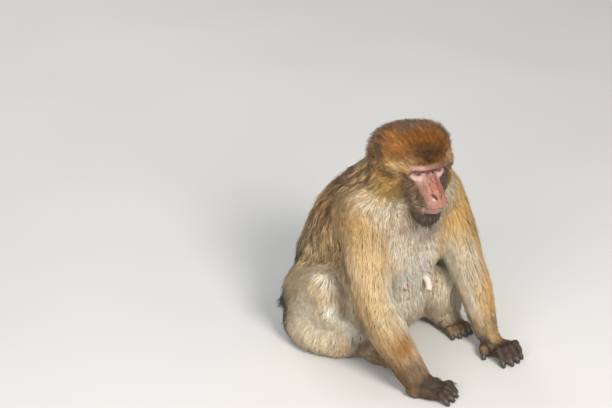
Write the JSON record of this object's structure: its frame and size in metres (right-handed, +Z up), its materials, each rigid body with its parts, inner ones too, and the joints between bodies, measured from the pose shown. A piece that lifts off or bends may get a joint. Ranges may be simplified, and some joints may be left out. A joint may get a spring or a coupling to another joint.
{
  "type": "barbary macaque",
  "caption": "Life-size adult macaque seated upright on its rump, knees folded, arms braced ahead with palms down, head turned and tilted; thick coat, stub tail.",
  "frame": {"origin": "on the ground under the middle of the animal's bounding box", "axes": "+Z up, -Y the way the body faces, -X the animal's right"},
  "size_m": [0.332, 0.4622, 0.4752],
  "materials": {
    "head_fur": "orange-brown fur with dark flecks",
    "body_fur": "long ochre and dark brown fur, cream on the chest",
    "limb_fur": "golden to pale tan fur",
    "bare_skin": "bare pinkish skin",
    "dark_skin": "dark grey bare skin and short hair",
    "nail": "dark horn with a low gloss",
    "eye": "wet amber-brown eye"
  },
  "bodies": {
    "root": {"head": "head_fur", "neck": "body_fur", "trunk": "body_fur", "tail": "body_fur", "ear_left": "bare_skin", "ear_right": "bare_skin", "eye_left": "eye", "eye_right": "eye", "upper_arm_left": "limb_fur", "upper_arm_right": "limb_fur", "forearm_left": "limb_fur", "forearm_right": "limb_fur", "hand_left": "dark_skin", "hand_right": "dark_skin", "thigh_left": "limb_fur", "thigh_right": "limb_fur", "shank_left": "limb_fur", "shank_right": "limb_fur", "foot_left": "dark_skin", "foot_right": "dark_skin"}
  },
  "joints": []
}
